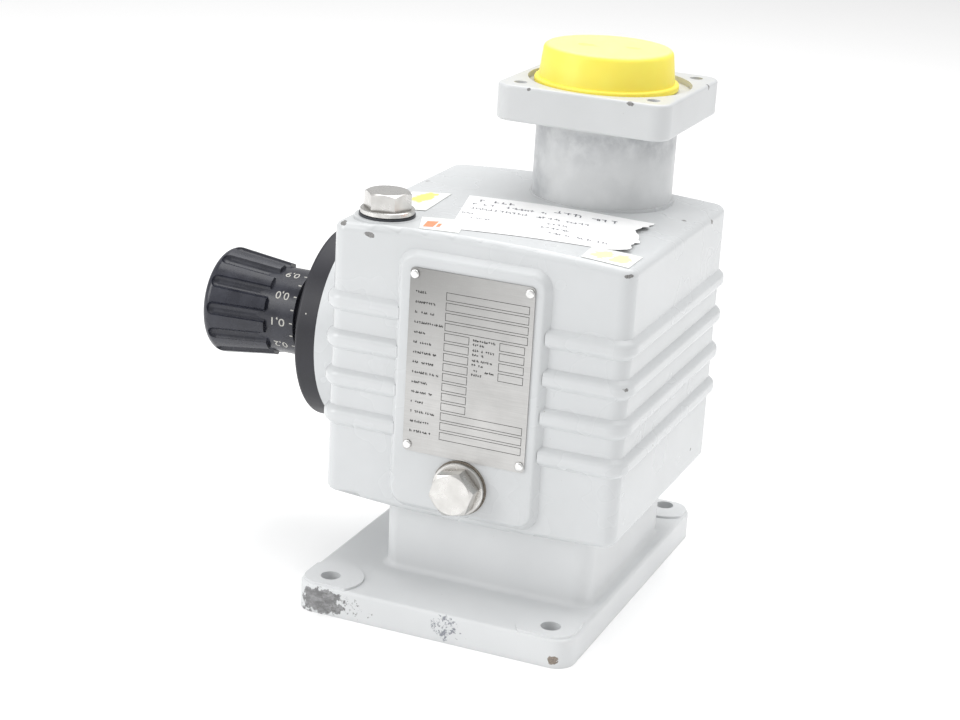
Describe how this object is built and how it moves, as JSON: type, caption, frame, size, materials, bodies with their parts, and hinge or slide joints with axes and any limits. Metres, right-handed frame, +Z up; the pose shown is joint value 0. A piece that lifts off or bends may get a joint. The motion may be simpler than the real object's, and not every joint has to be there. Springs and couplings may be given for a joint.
{
  "type": "metering pump drive unit",
  "caption": "Worm-gear drive unit of a diaphragm metering pump: ribbed housing on a foot, flange for a vertical motor, flange for the pump head, fluted stroke knob with dial.",
  "frame": {"origin": "centre of the four foot bolt holes, in the plane of the foot's underside", "axes": "+Z up, out of the motor flange; +Y out of the pump head flange; X along the gear shaft, with the adjusting knob at -X"},
  "size_m": [0.3354, 0.2755, 0.3577],
  "materials": {
    "housing_paint": "glossy light grey enamel over cast iron",
    "foot_paint": "light grey enamel over rough casting",
    "lantern_paint": "light grey enamel over rough casting",
    "stainless": "turned stainless steel",
    "dark_seal": "dark sealing ring",
    "fibre_seal": "brown fibre sealing ring",
    "plate_metal": "brushed stainless plate",
    "rivet_metal": "domed rivets",
    "black_plastic": "satin black moulding",
    "knob_plastic": "satin black moulding with a soft sheen",
    "yellow_plastic": "thin semi-gloss yellow moulding",
    "screw_steel": "plated steel",
    "ground_steel": "ground steel, lightly oiled",
    "bearing_steel": "polished bearing steel",
    "spring_steel": "phosphated spring steel",
    "bare_iron": "machined cast iron, oiled",
    "bronze": "machined bronze",
    "coupling_metal": "cast aluminium",
    "spider_rubber": "red elastomer",
    "black_rubber": "black elastomer"
  },
  "bodies": {
    "housing": {"foot": "foot_paint", "foot_screws": "screw_steel", "gear_housing": "housing_paint", "motor_lantern": "lantern_paint", "filler_plug": "stainless", "filler_seal": "dark_seal", "drain_plug": "stainless", "drain_seal": "fibre_seal", "nameplate": "plate_metal", "nameplate_rivets": "rivet_metal", "adjuster_cover": "black_plastic", "cover_screws": "screw_steel", "scale_sleeve": "black_plastic", "bearing_bracket": "bare_iron", "bracket_o_ring": "black_rubber", "left_bearing_circlip": "spring_steel", "left_shaft_bearing": "bearing_steel", "right_shaft_bearing": "bearing_steel", "lower_worm_bearing": "bearing_steel", "upper_worm_bearing": "bearing_steel", "worm_bearing_circlip": "spring_steel", "worm_shaft_seal": "black_rubber", "crosshead_bush": "bronze", "crosshead_seal": "black_rubber"},
    "wheel": {"gear_shaft": "ground_steel", "worm_wheel_hub": "bare_iron", "worm_wheel_rim": "bronze", "wheel_key": "ground_steel", "wheel_circlip": "spring_steel"},
    "worm": {"worm_shaft": "ground_steel", "coupling_hub": "coupling_metal", "coupling_spider": "spider_rubber"},
    "eccentric": {"eccentric": "ground_steel", "eccentric_ring": "ground_steel"},
    "crosshead": {"crosshead": "bare_iron", "crosshead_pin": "ground_steel", "push_rod_end": "ground_steel"},
    "rod": {"connecting_rod": "bare_iron", "small_end_bush": "bronze"},
    "shift_rod": {"shift_rod": "ground_steel", "thrust_bearing": "bearing_steel"},
    "knob": {"adjusting_knob": "knob_plastic", "dial_ring": "knob_plastic", "knob_cap": "knob_plastic", "adjusting_spindle": "ground_steel"},
    "cap": {"protective_cap": "yellow_plastic"}
  },
  "joints": [
    {"name": "wheel_spin", "type": "hinge", "parent": "housing", "child": "wheel", "pos_m": [0, 0.0025, 0.156], "axis": [1, 0, 0], "continuous": true},
    {"name": "worm_spin", "type": "hinge", "parent": "housing", "child": "worm", "pos_m": [0.028, 0.0655, 0.2], "axis": [0, 0, 1], "continuous": true},
    {"name": "eccentric_shift", "type": "slide", "parent": "wheel", "child": "eccentric", "axis": [0, 1, 0], "range_m": [-0.0025, 0.005]},
    {"name": "crosshead_slide", "type": "slide", "parent": "housing", "child": "crosshead", "axis": [0, 1, 0], "range_m": [-0.01, 0.005]},
    {"name": "rod_swing", "type": "hinge", "parent": "crosshead", "child": "rod", "pos_m": [-0.038, 0.0885, 0.156], "axis": [1, 0, 0], "range_deg": [-5.1, 5.1]},
    {"name": "shift_slide", "type": "slide", "parent": "housing", "child": "shift_rod", "axis": [-1, 0, 0], "range_m": [-0.005, 0.01]},
    {"name": "knob_turn", "type": "hinge", "parent": "shift_rod", "child": "knob", "pos_m": [-0.2, 0.0025, 0.156], "axis": [-1, 0, 0], "range_deg": [-1800, 3600]},
    {"name": "cap_lift", "type": "slide", "parent": "housing", "child": "cap", "axis": [0, 0, 1], "range_m": [0, 0.06]}
  ],
  "couplings": [
    {"joint": "worm_spin", "follows": "wheel_spin", "ratio": -12.5},
    {"joint": "shift_slide", "follows": "knob_turn", "m_per_rad": 0.00015915},
    {"joint": "eccentric_shift", "follows": "knob_turn", "m_per_rad": 0.000079577}
  ]
}
